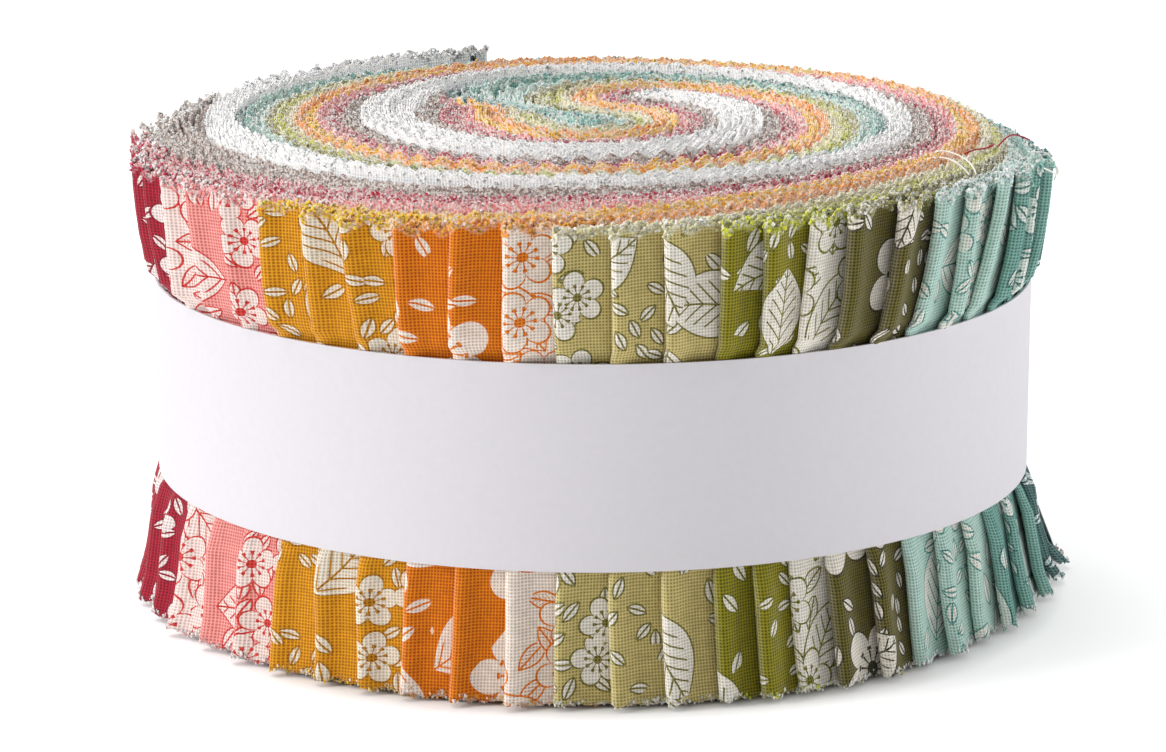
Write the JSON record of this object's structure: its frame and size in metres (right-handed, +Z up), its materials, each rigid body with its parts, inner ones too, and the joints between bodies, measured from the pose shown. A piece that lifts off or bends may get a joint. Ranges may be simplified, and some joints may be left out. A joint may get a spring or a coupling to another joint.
{
  "type": "roll of quilting fabric strips",
  "caption": "Low round roll of pinked cotton strips, folded, stepped round the side and wound in a spiral, tied at its waist by a plain paper band.",
  "frame": {"origin": "middle of the base, on the axis of the round paper band, where the roll stands on its cut edges", "axes": "+Z is up along the axis of the roll, -Y is the front in the picture, +X is the right"},
  "size_m": [0.1336, 0.1257, 0.0677],
  "materials": {
    "printed_cotton": "woven quilting cotton printed with leaves and blossoms in graded colours, pinked and frayed at its cut edges",
    "band_paper": "smooth matt white paper, bare"
  },
  "bodies": {
    "root": {"strip_roll": "printed_cotton", "paper_band": "band_paper"}
  },
  "joints": []
}
